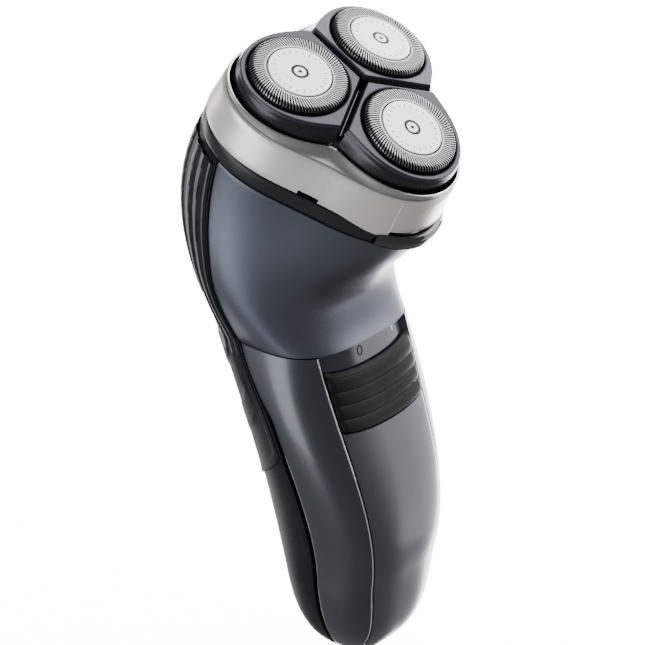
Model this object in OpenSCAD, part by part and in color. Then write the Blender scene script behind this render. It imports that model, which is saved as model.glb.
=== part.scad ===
// Handheld rotary shaver: a tilted head of three cutters on a shaped two-tone handle.
// Up is +Z along the handle, -Y is the front with the switch, and +X is the right seen
// from the front. The origin is the centre of the charging inlet's mouth.

/* [Head] */
// Forward tilt of the head from the handle's axis, degrees
head_tilt = 35; // [25:1:42]
// Height of the head's centre, on the plane of the cutter caps
head_z = 142.4; // [138:0.1:146]
// Front to back place of the head's centre
head_y = -14.9; // [-17:0.1:-12]
// Mean radius of the holder's lower edge
holder_r = 27.1; // [26.5:0.1:28]
// How far the holder's outline bulges towards each cutter, as a share of its radius
holder_bulge = 0.122; // [0.08:0.001:0.14]

/* [Cutters] */
// Outer radius of a cutter cap
cap_r = 11; // [10.5:0.1:11.2]
// Distance from the head's centre to a cap's centre
cap_orbit = 15.4; // [15:0.1:15.6]
// Outward lean of each cap and its frame, degrees
cap_lean = 6.2; // [4:0.1:7]
// Radius of the plain disc in the middle of a cap
disc_r = 7.1; // [6.5:0.1:7.6]
// Slots in a cap's shaving ring
slots = 90; // [60:2:100]
// Blades on a rotary cutter
blades = 15; // [9:1:15]
// Downward float of a cap
cap_float = 1.2; // [0.8:0.1:1.2]

/* [Handle] */
// Height where the rounded lower end begins
end_z = 22.9; // [21:0.1:25]
// Front height of the seam between the handle and the neck
seam_z = 80.4; // [79:0.1:82]
// Backward rise of that seam, degrees
seam_tilt = 5.8; // [3:0.1:8]
// Thickness of the outer shells
wall = 1.8; // [1.4:0.1:2]
// Travel of the power switch
switch_travel = 3; // [2:0.1:3]

/* [Drive] */
// Gear module
gear_module = 0.8; // [0.8:0.1:0.8]
// Teeth on the motor pinion
pinion_teeth = 10; // [10:1:10]
// Teeth on each drive gear
gear_teeth = 26; // [26:1:26]
// Radius of the motor can
motor_r = 9.5; // [8:0.1:9.5]
// Length of the motor can
motor_len = 21; // [16:0.5:21]

/* [Power] */
// Diameter of a battery cell
cell_d = 14; // [13.5:0.1:14]
// Length of a battery cell
cell_len = 46; // [42:0.5:46]
// Radius of a charging contact pin
pin_r = 0.75; // [0.6:0.05:0.8]
// Distance between the charging pins
pin_gap = 5.7; // [5.6:0.1:5.9]
// Width of the charging inlet's mouth
inlet_w = 11; // [10.8:0.1:11.2]
// Height of that mouth
inlet_h = 7.6; // [7.4:0.1:7.8]
// Depth of its recess
inlet_depth = 8; // [7:0.5:9]

/* [Hidden] */
$fn = 48;

// Directions of the three cutters around the head, in degrees
front_dir = 270;
left_dir = 150;
right_dir = 30;
directions = [front_dir, left_dir, right_dir];

// Handle sections at four heights: half width, front and rear edges
station_z = [end_z, 44.9, 66.4, seam_z];
half_width = [16.2, 19.4, 22.1, 21];
front_edge = [-19.2, -20.3, -14.5, -11.8];
rear_edge = [11.9, 13.6, 16.8, 23.5];
// Height of the point where the rounded lower end would close, below the flat mouth
end_apex = -2.5;
end_power = 2.05;
// Share of the handle's slope that the rounded end carries on, so that they meet without a crease
end_carry = 0.85;
// Exponents of the rounded sections, front and rear halves
front_power = 3;
rear_power = 3;
// Middle of the neck: half width, front depth, rear depth, centre and tilt
neck_mid = [27.2, 15.2, 13.1];
neck_mid_y = 7.9;
neck_mid_z = 104.6;
neck_mid_tilt = 23;
// The neck ends at this depth below the caps' plane, under the collar
neck_top = -21.8;
neck_top_r = 26.6;
neck_top_bulge = 0.11;

// Heights in the head, measured from the caps' plane
rim_low = -17.1;
edge_bulge = 0.138;
rim_edge = -8.4;
rim_lip = -6.2;
collar_top = -17.5;
deck_top = -17.8;
deck_thick = 1;
button_stem = 8.6;
gear_top = -19.4;
gear_thick = 2;
plate_top = -21.8;
plate_thick = 1.2;
motor_top = -24.4;

// Lobed outline of the cutter frames: waist between lobes and tip of a lobe
lobe_waist = 17.3;
lobe_tip = cap_orbit + 13.3;
lobe_power = 0.725;

// Frame pivots: each frame's legs carry pins that turn in the carrier's lugs
pivot_z = -7.8;
pivot_r = 0.6;
leg_x = 12.75;
lug_x = 13.5;

// Drive: the gear axes stand parallel to the head's axis
gear_orbit = gear_module * (pinion_teeth + gear_teeth) / 2;
spindle_tip = -7.5;
hub_low = -8.2;
spindle_r = 1.55;
spindle_bore = 1.6;
gear_hub_r = 2.6;
screw_orbit = -18;
screw_r = 1;

// Hinge of the shaving unit, behind and just above the collar
hinge_y = 25.5;
hinge_z = -17.25;
hinge_r = 1.5;
hinge_pin_r = 0.75;
running = 0.05;

// Charging pins start this far inside the mouth
pin_low = 1.2;
pin_shoulder_r = 0.95;

// Battery cells and circuit board
cell_low = 31;
cell_y = 2.5;
board_low = 16;
board_high = 76;
board_y = -8.4;
board_thick = 1.4;

// Front insert and switch
insert_low = 3;
insert_base = 9;
insert_gap = 0.12;
switch_low = 62.9;
switch_high = 76.8;
bed_depth = -1.35;

// ---------- outline functions ----------

function signed_power(v, e) = sign(v) * pow(abs(v), e);

// Cubic through the four handle stations
function along_handle(q, z) =
    let (s = station_z)
    q[0] * (z - s[1]) * (z - s[2]) * (z - s[3]) / ((s[0] - s[1]) * (s[0] - s[2]) * (s[0] - s[3]))
    + q[1] * (z - s[0]) * (z - s[2]) * (z - s[3]) / ((s[1] - s[0]) * (s[1] - s[2]) * (s[1] - s[3]))
    + q[2] * (z - s[0]) * (z - s[1]) * (z - s[3]) / ((s[2] - s[0]) * (s[2] - s[1]) * (s[2] - s[3]))
    + q[3] * (z - s[0]) * (z - s[1]) * (z - s[2]) / ((s[3] - s[0]) * (s[3] - s[1]) * (s[3] - s[2]));

// Quadratic through a start, a middle and an end value
function three(v, a, b, c) = a * (1 - v) * (1 - 2 * v) + b * 4 * v * (1 - v) + c * v * (2 * v - 1);

// Rounded section: half width a, front depth f, rear depth r
function rounded(phi, a, f, r, fp) =
    let (front = sin(phi) < 0, e = 2 / (front ? fp : rear_power))
    [a * signed_power(cos(phi), e), (front ? f : r) * signed_power(sin(phi), e)];

// Rounded triangle with one lobe towards each cutter
function triangle_r(phi, r, bulge) = r * (1 + bulge * cos(3 * (phi - front_dir)));

// Point given in the head's own frame
function from_head(p) = [
    p[0],
    head_y + p[1] * cos(head_tilt) - p[2] * sin(head_tilt),
    head_z + p[1] * sin(head_tilt) + p[2] * cos(head_tilt)
];

function end_scale(z, d) =
    pow(1 - pow(min(1, (end_z - z) / (end_z - end_apex + d)), end_power), 1 / end_power);

// Outer surface of the body. s runs 0..1 over the rounded end, 1..2 over the handle and
// 2..3 over the neck; phi goes round from +X to the rear; d moves the point outwards.
function skin(s, phi, d = 0) =
    s < 1 ? end_skin(s, phi, d) : s < 2 ? handle_skin(s - 1, phi, d) : neck_skin(s - 2, phi, d);

// Edge of the rounded end at a height, leaving the handle with most of the handle's own slope
function end_edge(edge, z) =
    edge[0] - end_carry * (end_z - z) * pow(z / end_z, 2) * (along_handle(edge, end_z + 0.1) - edge[0]) / 0.1;

function end_skin(s, phi, d) =
    let (
        z = end_z * (1 - cos(90 * s)),
        k = end_scale(z, d),
        front = end_edge(front_edge, z),
        rear = end_edge(rear_edge, z),
        mid = (front + rear) / 2,
        b = (rear - front) / 2 + d,
        p = rounded(phi, (end_edge(half_width, z) + d) * k, b * k, b * k, front_power)
    )
    [p[0], mid * k + p[1], z];

function handle_skin(w, phi, d) =
    let (
        z = end_z + (seam_z - end_z) * w,
        f = along_handle(front_edge, z),
        b = (along_handle(rear_edge, z) - f) / 2 + d,
        p = rounded(phi, along_handle(half_width, z) + d, b, b, front_power),
        y = f - d + b + p[1]
    )
    [p[0], y, z + tan(seam_tilt * w * w) * (y - f)];

function neck_skin(v, phi, d) =
    let (
        b = (rear_edge[3] - front_edge[3]) / 2,
        top = from_head([0, 0, neck_top]),
        tilt = three(v, seam_tilt, neck_mid_tilt, head_tilt),
        cy = three(v, front_edge[3] + b, neck_mid_y, top[1]),
        cz = three(v, seam_z + tan(seam_tilt) * b, neck_mid_z, top[2]),
        a = three(v, half_width[3], neck_mid[0], 27) + d,
        f = three(v, b / cos(seam_tilt), neck_mid[1], 29) + d,
        r = three(v, b / cos(seam_tilt), neck_mid[2], 24) + d,
        p = rounded(phi, a, f, r, front_power - 0.7 * v),
        t = triangle_r(phi, neck_top_r, neck_top_bulge) + d,
        w = v * v * (3 - 2 * v),
        q = [(1 - w) * p[0] + w * t * cos(phi), (1 - w) * p[1] + w * t * sin(phi)]
    )
    [q[0], cy + q[1] * cos(tilt), cz + q[1] * sin(tilt)];

// Angle by which the rear shell gives way to the front shells, from the side's widest line
function rear_start(s) =
    let (u = min(1, max(0, (s - 1.7) / 0.28)))
    4.5 * u * u * (3 - 2 * u) + 11.5 * pow(max(0, s - 2.45) / 0.55, 1.4);

// Angle between the rear shell's edge and the grip's, growing downwards so that the grip ends in a U
function grip_margin(s) = 1.2 + 60 * pow(max(0, 1.574 - s) / 0.19, 2);

// How far the grip's outer and inner faces stand off the rear shell's face
grip_out = 0.6;
grip_in = 0.2;

// ---------- builders ----------

// Closed solid between two grids of points that share rows and columns
module grid_solid(outer, inner) {
    rows = len(outer);
    cols = len(outer[0]);
    count = rows * cols;
    points = concat([for (r = outer) for (p = r) p], [for (r = inner) for (p = r) p]);
    out_faces = [for (i = [0:rows - 2]) for (j = [0:cols - 2])
        [i * cols + j, (i + 1) * cols + j, (i + 1) * cols + j + 1, i * cols + j + 1]];
    in_faces = [for (f = out_faces) [f[3] + count, f[2] + count, f[1] + count, f[0] + count]];
    low = [for (j = [0:cols - 2]) [j, j + 1, j + 1 + count, j + count]];
    high = [for (j = [0:cols - 2])
        let (k = (rows - 1) * cols + j) [k + 1, k, k + count, k + 1 + count]];
    start = [for (i = [0:rows - 2]) [(i + 1) * cols, i * cols, i * cols + count, (i + 1) * cols + count]];
    end = [for (i = [0:rows - 2])
        let (k = i * cols + cols - 1) [k, k + cols, k + cols + count, k + count]];
    polyhedron(points, concat(out_faces, in_faces, low, high, start, end), convexity = 6);
}

// Piece of the body's skin between two offsets: from row s0 to s1, from angle lo(s) to hi(s)
module skin_patch(s0, s1, rows, cols, lo, hi, out, inn) {
    s = [for (i = [0:rows]) s0 + (s1 - s0) * i / rows];
    outer = [for (v = s) [for (j = [0:cols]) skin(v, lo(v) + (hi(v) - lo(v)) * j / cols, out)]];
    inner = [for (v = s) [for (j = [0:cols]) skin(v, lo(v) + (hi(v) - lo(v)) * j / cols, inn)]];
    grid_solid(outer, inner);
}

module in_head() {
    translate([0, head_y, head_z]) rotate([head_tilt, 0, 0]) children();
}

// Frame of one cutter: centred on its cap, leaning outwards, with +Y away from the centre
module at_cap(dir) {
    in_head() rotate([0, 0, dir - 90]) translate([0, cap_orbit, 0]) rotate([-cap_lean, 0, 0]) children();
}

// Axis of one drive gear, parallel to the head's own axis
module at_gear(dir) {
    in_head() rotate([0, 0, dir]) translate([gear_orbit, 0, 0]) children();
}

module tube(z0, z1, outer, inner) {
    translate([0, 0, z0]) difference() {
        cylinder(h = z1 - z0, r = outer);
        translate([0, 0, -1]) cylinder(h = z1 - z0 + 2, r = inner);
    }
}

module rod(z0, z1, r) {
    translate([0, 0, z0]) cylinder(h = z1 - z0, r = r);
}

module block(low, high) {
    translate(low) cube(high - low);
}

module across(x0, x1, r) {
    translate([x0, 0, 0]) rotate([0, 90, 0]) cylinder(h = x1 - x0, r = r);
}

// Rounded-triangle plate in the head's frame
module triangle_plate(z0, z1, r, bulge) {
    translate([0, 0, z0]) linear_extrude(z1 - z0)
        polygon([for (a = [0:6:354]) triangle_r(a, r, bulge) * [cos(a), sin(a)]]);
}

function lobe_r(delta, grow) =
    lobe_waist + grow + (lobe_tip - lobe_waist) * pow((1 + cos(3 * delta)) / 2, lobe_power);

// One lobe of the frames' common outline as a 2D shape round its own cap, between the straight arms
module one_lobe(grow, gap) {
    shift = gap / sin(60);
    tips = [for (a = [-60:6:60]) lobe_r(a, grow) * [sin(a), cos(a)]];
    intersection() {
        translate([0, -cap_orbit]) polygon(concat([[0, 0]], tips));
        translate([0, shift - cap_orbit])
            polygon([[0, 0], 40 * [-sin(60), cos(60)], [0, 60], 40 * [sin(60), cos(60)]]);
    }
}

// Outline of the front insert, seen from the front, wider towards the top
function insert_half(z) = insert_base + 0.135 * (z - 5) - 0.0007 * pow(z - 5, 2);

module insert_prism(z0, z1, gap) {
    corner = 3;
    side = [for (z = [z0 + corner:(z1 - z0 - corner) / 8:z1 + 0.01]) [insert_half(z) - gap, z]];
    low_half = insert_half(z0 + corner) - gap;
    bend = [for (a = [-90:30:-30]) [low_half - corner * (1 - cos(a)), z0 + corner * (1 + sin(a)) + gap]];
    right = concat(bend, side);
    left = [for (i = [len(right) - 1:-1:0]) [-right[i][0], right[i][1]]];
    rotate([90, 0, 0]) linear_extrude(40) polygon(concat(right, left));
}

// Band across the insert between two arcs that sag in the middle, as the switch pad has
module switch_band(z0, z1, gap) {
    sag = 1.4;
    low = [for (x = [-18:3:18]) [x, z0 + gap + sag * pow(x / 15, 2) - sag]];
    high = [for (x = [18:-3:-18]) [x, z1 - gap + sag * pow(x / 15, 2) - sag]];
    rotate([90, 0, 0]) linear_extrude(40) polygon(concat(low, high));
}

// Spur gear with plain straight-sided teeth, relieved at their tips
module spur(teeth, thick, relief) {
    pitch = gear_module * teeth / 2;
    root = pitch - 1.1 * gear_module;
    tip = pitch + 0.9 * gear_module;
    step = 360 / teeth;
    linear_extrude(thick) polygon([for (i = [0:teeth - 1]) each [
        root * [cos(step * (i - 0.3)), sin(step * (i - 0.3))],
        tip * [cos(step * (i - 0.11) + relief), sin(step * (i - 0.11) + relief)],
        tip * [cos(step * (i + 0.11) - relief), sin(step * (i + 0.11) - relief)],
        root * [cos(step * (i + 0.3)), sin(step * (i + 0.3))]
    ]]);
}

module coil(z0, z1, r, wire, turns) {
    steps = 12;
    sides = 6;
    n = turns * steps;
    rings = [for (i = [0:n]) let (a = 360 * i / steps, z = z0 + (z1 - z0) * i / n)
        [for (k = [0:sides - 1]) let (q = r + wire * cos(360 * k / sides))
            [q * cos(a), q * sin(a), z + wire * sin(360 * k / sides)]]];
    points = [for (g = rings) for (p = g) p];
    faces = [for (i = [0:n - 1]) for (k = [0:sides - 1])
        let (m = (k + 1) % sides)
        [i * sides + k, i * sides + m, (i + 1) * sides + m, (i + 1) * sides + k]];
    first = [for (k = [sides - 1:-1:0]) k];
    last = [for (k = [0:sides - 1]) n * sides + k];
    polyhedron(points, concat(faces, [first, last]));
}

// ---------- body ----------

module front_shell() {
    color("#3e4046") difference() {
        skin_patch(0.06, 1.995, 22, 24,
            function (s) 180.3 - rear_start(s), function (s) 359.7 + rear_start(s), 0, -wall);
        insert_prism(insert_low, seam_z + 8, 0);
        inlet_prism(0.1);
    }
}

module front_panel() {
    color("#4a4c54") difference() {
        intersection() {
            skin_patch(0.1, 1.99, 22, 20, function (s) 200, function (s) 340, 0, -wall);
            insert_prism(insert_low, seam_z + 8, insert_gap);
        }
        switch_band(switch_low - 0.2, seam_z + 30, 0);
    }
}

module switch_bed() {
    color("#4b5263") difference() {
        intersection() {
            skin_patch(1.4, 1.995, 8, 20, function (s) 200, function (s) 340, bed_depth, bed_depth - 1.2);
            insert_prism(insert_low, seam_z + 8, insert_gap);
            switch_band(switch_low - 0.1, seam_z + 30, 0);
        }
        block([-2.3, -30, switch_low + 1.6], [2.3, 0, switch_low + 6.1 + switch_travel]);
    }
}

module neck_shell() {
    color("#69718a") skin_patch(2.012, 3, 16, 40,
        function (s) 180.4 - rear_start(s), function (s) 359.6 + rear_start(s), 0, -wall);
}

module rear_shell() {
    color("#38373c") difference() {
        skin_patch(0.06, 3, 34, 24,
            function (s) 0.3 + rear_start(s), function (s) 179.7 - rear_start(s), 0, -wall);
        inlet_prism(0.1);
    }
}

module rear_grip() {
    color("#2b2b2e") skin_patch(1.39, 2.97, 30, 20,
        function (s) rear_start(s) + grip_margin(s),
        function (s) 180 - rear_start(s) - grip_margin(s), grip_out, grip_in);
}

module inlet_prism(gap) {
    translate([0, 0, -1]) linear_extrude(14) stadium(inlet_w + 2 * gap, inlet_h + 2 * gap);
}

module stadium(w, h) {
    square([w - h, h], center = true);
    for (s = [-1, 1]) translate([s * (w - h) / 2, 0]) circle(d = h);
}

module charging_inlet() {
    color("#1e1e20") difference() {
        union() {
            linear_extrude(12) stadium(inlet_w, inlet_h);
            translate([0, 0, 12]) linear_extrude(1.6) stadium(inlet_w + 2, inlet_h + 2);
        }
        translate([0, 0, -1]) linear_extrude(inlet_depth + 1) stadium(inlet_w - 1.6, inlet_h - 1.8);
        for (s = [-1, 1]) translate([s * pin_gap / 2, 0, 0]) rod(6, 20, pin_shoulder_r);
    }
}

module contact_pins() {
    color("#c9b26a") for (s = [-1, 1]) translate([s * pin_gap / 2, 0, 0]) {
        rod(pin_low, inlet_depth, pin_r);
        rod(inlet_depth, board_low + 1.4, pin_shoulder_r);
        block([-0.4, board_y + board_thick, board_low + 0.6], [0.4, 0, board_low + 1.2]);
    }
}

module battery_cell(side) {
    translate([side * (cell_d / 2 + 0.2), cell_y, cell_low]) union() {
        color("#3c6e8f") rod(0, cell_len - 1.4, cell_d / 2);
        color("#b9bcc0") rod(cell_len - 1.4, cell_len, 2.6);
    }
}

module battery_cell_left() { battery_cell(-1); }

module battery_cell_right() { battery_cell(1); }

module battery_contacts() {
    color("#c8c8cc") {
        translate([0, cell_y, cell_low]) {
            block([-11, -3, -0.6], [11, 3, -0.1]);
            for (s = [-1, 1]) block([s * 7.2 - 3, -3, cell_len + 0.1], [s * 7.2 + 3, 3, cell_len + 0.6]);
        }
    }
}

module circuit_board() {
    color("#2f6b45") block([-10, board_y, board_low], [10, board_y + board_thick, board_high]);
}

module circuit_parts() {
    color("#26262a") {
        block([-3.6, board_y - 1.7, 63], [3.6, board_y, 74]);
        block([-7, board_y - 2.1, 30], [-1, board_y, 37]);
        block([2, board_y - 1.4, 40], [8, board_y, 46]);
        translate([4.5, board_y, 31]) rotate([90, 0, 0]) cylinder(h = 3, r = 2.6);
    }
}

module collar() {
    color("#3a3a3f") in_head() difference() {
        union() {
            difference() {
                triangle_plate(neck_top + 0.1, collar_top, 26.9, 0.118);
                triangle_plate(neck_top - 1, collar_top + 1, 24.8, 0.118);
                block([-11.9, -36, -26], [11.9, -20, -16]);
            }
            button_wall(0);
        }
        for (s = [-1, 1]) block([s * button_stem - 1.4, -30, -21.3], [s * button_stem + 1.4, -20, -19.1]);
    }
}

// Curved wall behind the release button, which leaves room for its travel
module button_wall(grow) {
    intersection() {
        translate([0, -13.6, neck_top + 0.1]) tube(0, collar_top - neck_top - 0.1, 15 + grow, 13.7 - grow);
        block([-12.6 - grow, -36, -26], [12.6 + grow, -19, -16]);
    }
}

// Crescent outline of the release button, bulging past the collar's front
module button_body() {
    intersection() {
        translate([0, -18.14, -21.6]) cylinder(h = 3.7, r = 13.96);
        block([-11.3, -36, -25], [11.3, -20, -17]);
    }
}

module spindle_deck() {
    color("#232326") in_head() difference() {
        union() {
            triangle_plate(deck_top - deck_thick, deck_top, 24.7, 0.118);
            for (d = directions) rotate([0, 0, d])
                translate([gear_orbit, 0, 0]) rod(deck_top - 0.5, deck_top + 1.8, 4.3);
        }
        for (d = directions) rotate([0, 0, d]) {
            translate([gear_orbit, 0, 0]) rod(-22, -10, 3);
            translate([screw_orbit, 0, 0]) rod(-22, -10, screw_r + running);
        }
        button_wall(0.05);
    }
}

module deck_screws() {
    color("#a9abb0") in_head() for (d = directions) rotate([0, 0, d]) translate([screw_orbit, 0, 0]) {
        rod(plate_top - plate_thick, deck_top, screw_r);
        rod(deck_top, deck_top + 1, 1.9);
    }
}

module gear_plate() {
    color("#d9d6cc") in_head() difference() {
        triangle_plate(plate_top - plate_thick, plate_top, 22.6, 0.1);
        rod(-30, 0, 3.2);
        for (d = directions) rotate([0, 0, d]) {
            translate([gear_orbit, 0, 0]) rod(-30, 0, 1.25 + running);
            translate([screw_orbit, 0, 0]) rod(-30, 0, screw_r + running);
        }
    }
}

module motor_mount() {
    color("#8f9196") in_head() difference() {
        rod(motor_top, plate_top - plate_thick, motor_r + 1.5);
        rod(-30, 0, 3);
    }
}

module motor_can() {
    color("#b6b8bc") in_head() difference() {
        union() {
            rod(motor_top - motor_len, motor_top, motor_r);
            rod(motor_top - motor_len - 1.5, motor_top - motor_len, 3);
            rod(motor_top, motor_top + 0.9, 2.8);
        }
        rod(motor_top - 6, motor_top + 5, 1);
    }
}

module motor_pinion() {
    color("#e2dfd2") in_head() union() {
        translate([0, 0, gear_top - gear_thick])
            rotate([0, 0, front_dir + 180 / pinion_teeth]) spur(pinion_teeth, gear_thick, 2.5);
        rod(motor_top - 5, gear_top - gear_thick + 0.1, 0.95);
    }
}

// Turn of a drive gear that brings its teeth into mesh with the pinion
function mesh_turn(dir) =
    -((front_dir - dir) % (360 / pinion_teeth)) * pinion_teeth / gear_teeth;

module drive_gear(dir) {
    color("#e9e6da") at_gear(dir) difference() {
        union() {
            translate([0, 0, gear_top - gear_thick])
                rotate([0, 0, mesh_turn(dir)]) spur(gear_teeth, gear_thick, 0.9);
            rod(gear_top - 0.1, deck_top + 2.2, gear_hub_r);
            rod(plate_top - plate_thick, gear_top - gear_thick + 0.1, 1.25);
        }
        rod(gear_top - gear_thick + 0.6, -10, spindle_bore);
    }
}

module drive_gear_front() { drive_gear(front_dir); }

module drive_gear_left() { drive_gear(left_dir); }

module drive_gear_right() { drive_gear(right_dir); }

module drive_spindle(dir) {
    color("#f0eee6") at_gear(dir) union() {
        rod(-19, -12.5, spindle_r);
        rod(-12.6, -11.4, 2.9);
        rod(-11.5, -9.2, 2.1);
        translate([0, 0, -9.3]) cylinder(h = spindle_tip + 9.3, r = 1.4, $fn = 6);
    }
}

module drive_spindle_front() { drive_spindle(front_dir); }

module drive_spindle_left() { drive_spindle(left_dir); }

module drive_spindle_right() { drive_spindle(right_dir); }

module spindle_spring(dir) {
    color("#c4c6ca") at_gear(dir) coil(-15.3, -12.9, 2.2, 0.2, 4);
}

module spindle_spring_front() { spindle_spring(front_dir); }

module spindle_spring_left() { spindle_spring(left_dir); }

module spindle_spring_right() { spindle_spring(right_dir); }

module at_hinge() {
    in_head() translate([0, hinge_y, hinge_z]) children();
}

module hinge_bracket() {
    color("#232326") at_hinge() for (s = [-1, 1]) difference() {
        union() {
            across(s * 5 - 1.9, s * 5 + 1.9, hinge_r);
            block([s * 5 - 1.9, -2, -3.6], [s * 5 + 1.9, 0.6, -0.6]);
        }
        across(s * 5 - 3, s * 5 + 3, hinge_pin_r);
    }
}

module hinge_pin() {
    color("#b6b8bc") at_hinge() across(-6.9, 6.9, hinge_pin_r);
}

module hinge_leaf() {
    color("#c8c5bd") at_hinge() difference() {
        union() {
            across(-3, 3, hinge_r);
            block([-3, -2.2, 0.5], [3, -0.3, 3.8]);
        }
        across(-4, 4, hinge_pin_r + running);
    }
}

module release_button() {
    color("#1c1d20") in_head() {
        difference() {
            button_body();
            translate([0, -15, -27]) cylinder(h = 12, r = 15);
        }
        for (s = [-1, 1]) block([s * button_stem - 1.1, -28, -21], [s * button_stem + 1.1, -24.9, -19.4]);
    }
}

module button_spring() {
    color("#c4c6ca") in_head() for (s = [-1, 1]) translate([s * button_stem, 0, -20.2])
        rotate([-90, 0, 0]) coil(-24.65, -22.7, 0.7, 0.14, 4);
}

// ---------- shaving unit ----------

// Holder's outline at one level: rounded triangle, or the frames' lobed outline
function holder_row(level) = [for (a = [0:6:360])
    let (q = level[2] == 0 ? lobe_r(a - front_dir, level[1]) : triangle_r(a, level[1], level[2]))
    [q * cos(a), q * sin(a), level[0]]];

module head_holder() {
    outer = [
        [rim_low, holder_r, holder_bulge],
        [rim_edge, holder_r - 1, edge_bulge],
        [rim_edge + 0.5, holder_r - 1.5, edge_bulge],
        [rim_lip, 0.9, 0]
    ];
    inner = [
        [rim_low, holder_r - 1.6, holder_bulge],
        [rim_edge - 1.4, holder_r - 2.5, edge_bulge],
        [rim_lip - 1.3, 0.25, 0],
        [rim_lip, 0.25, 0]
    ];
    color("#c8c5bd") in_head()
        ring_solid([for (level = outer) holder_row(level)], [for (level = inner) holder_row(level)]);
}

// Closed ring between two grids whose first and last columns meet
module ring_solid(outer, inner) {
    rows = len(outer);
    cols = len(outer[0]) - 1;
    count = rows * cols;
    points = [for (grid = [outer, inner]) for (r = grid) for (j = [0:cols - 1]) r[j]];
    out_faces = [for (i = [0:rows - 2]) for (j = [0:cols - 1])
        let (k = (j + 1) % cols) [i * cols + j, (i + 1) * cols + j, (i + 1) * cols + k, i * cols + k]];
    in_faces = [for (f = out_faces) [f[3] + count, f[2] + count, f[1] + count, f[0] + count]];
    low = [for (j = [0:cols - 1]) let (k = (j + 1) % cols) [j, k, k + count, j + count]];
    high = [for (j = [0:cols - 1])
        let (a = (rows - 1) * cols + j, b = (rows - 1) * cols + (j + 1) % cols) [b, a, a + count, b + count]];
    polyhedron(points, concat(out_faces, in_faces, low, high), convexity = 6);
}

// Ledge plate under the frames with two bored lugs for each frame's pivots
module frame_carrier() {
    color("#232326") {
        in_head() difference() {
            triangle_plate(-10.4, -9.4, 23.3, 0.13);
            for (d = directions) rotate([0, 0, d]) translate([gear_orbit, 0, 0]) rod(-20, 0, 11.6);
            rod(-20, 0, 1.2 + running);
        }
        for (d = directions) at_cap(d) for (s = [-1, 1]) difference() {
            block([s * lug_x - 0.4, -1.2, -9.8], [s * lug_x + 0.4, 1, -6.8]);
            translate([0, 0, pivot_z]) across(s * lug_x - 1, s * lug_x + 1, pivot_r + running);
        }
    }
}

module retaining_plate() {
    color("#2a2b2f") in_head() difference() {
        union() {
            for (d = directions) rotate([0, 0, d]) {
                translate([gear_orbit, 0, 0]) rod(-12.6, -11.4, 10.6);
                block([0, -2.5, -12.6], [6, 2.5, -11.4]);
            }
            rod(-12.6, -11.4, 4.4);
        }
        for (d = directions) rotate([0, 0, d]) translate([gear_orbit, 0, 0]) rod(-20, 0, 6.5);
        rod(-20, 0, 1.25);
    }
}

module locking_wheel() {
    color("#3b3c41") in_head() union() {
        difference() {
            rod(-15.4, -12.8, 4.8);
            for (a = [0:30:330]) rotate([0, 0, a]) translate([5.1, 0, 0]) rod(-16, -12, 0.6);
        }
        rod(-12.9, -10.2, 1.2);
    }
}

module cutter_frame(dir) {
    color("#58565f") at_cap(dir) union() {
        difference() {
            union() {
                translate([0, 0, -3]) linear_extrude(1.7) one_lobe(-0.3, 0.55);
                translate([0, 0, -6.2]) linear_extrude(3.3) one_lobe(0, 1.05);
            }
            rod(-8, 0, cap_r + 0.45);
            rod(-8, -3.1, 12.5);
            translate([0, 0, -8]) linear_extrude(4.9) one_lobe(-0.8, 1.95);
        }
        for (s = [-1, 1]) {
            block([s * leg_x - 0.3, -1.4, -8.6], [s * leg_x + 0.3, 1.4, -5.4]);
            block([s * (leg_x + 0.35) - 0.6, -1.4, -6.2], [s * (leg_x + 0.35) + 0.6, 1.4, -5.4]);
            translate([0, 0, pivot_z]) across(s * lug_x - 0.55, s * lug_x + 0.55, pivot_r);
        }
    }
}

module cutter_frame_front() { cutter_frame(front_dir); }

module cutter_frame_left() { cutter_frame(left_dir); }

module cutter_frame_right() { cutter_frame(right_dir); }

// Shaving cap: slotted ring over its rounded edge, a groove and a seat for the disc
module cutter_cap(dir) {
    color("#d6d6d6") at_cap(dir) difference() {
        rotate_extrude($fn = 96) polygon([
            [disc_r - 1.6, -0.9], [disc_r + 0.2, -0.9], [disc_r + 0.5, 0], [cap_r - 0.9, 0],
            [cap_r - 0.3, -0.3], [cap_r, -0.9], [cap_r, -4.6], [11.9, -4.6], [11.9, -5.4],
            [cap_r - 0.8, -5.4], [cap_r - 0.8, -1.2], [disc_r - 1.6, -1.4]
        ]);
        for (i = [0:slots / 3 - 1]) rotate([0, 0, i * 1080 / slots])
            block([cap_r - 2.2, -0.2, -0.8], [cap_r - 0.9, 0.2, 1]);
    }
}

module cutter_cap_front() { cutter_cap(front_dir); }

module cutter_cap_left() { cutter_cap(left_dir); }

module cutter_cap_right() { cutter_cap(right_dir); }

module cap_disc(dir) {
    color("#e4e4e4") at_cap(dir) rod(-0.88, 0.15, disc_r);
}

module cap_disc_front() { cap_disc(front_dir); }

module cap_disc_left() { cap_disc(left_dir); }

module cap_disc_right() { cap_disc(right_dir); }

module rotary_cutter(dir) {
    color("#b0b2b6") at_cap(dir) difference() {
        union() {
            tube(-4.2, -3.2, 9.8, 6);
            rod(hub_low, -2.6, 3.2);
            for (a = [0:120:240]) rotate([0, 0, a]) block([2.5, -1, -4.2], [7, 1, -3.2]);
            for (i = [0:blades - 1]) rotate([0, 0, i * 360 / blades])
                translate([8.3, 0, -3.3]) rotate([20, 0, 0]) block([-1.2, -0.25, 0], [1.2, 0.25, 1.7]);
        }
        rod(hub_low - 1, hub_low + 1.6, 2);
    }
}

module rotary_cutter_front() { rotary_cutter(front_dir); }

module rotary_cutter_left() { rotary_cutter(left_dir); }

module rotary_cutter_right() { rotary_cutter(right_dir); }

// ---------- power switch ----------

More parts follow.
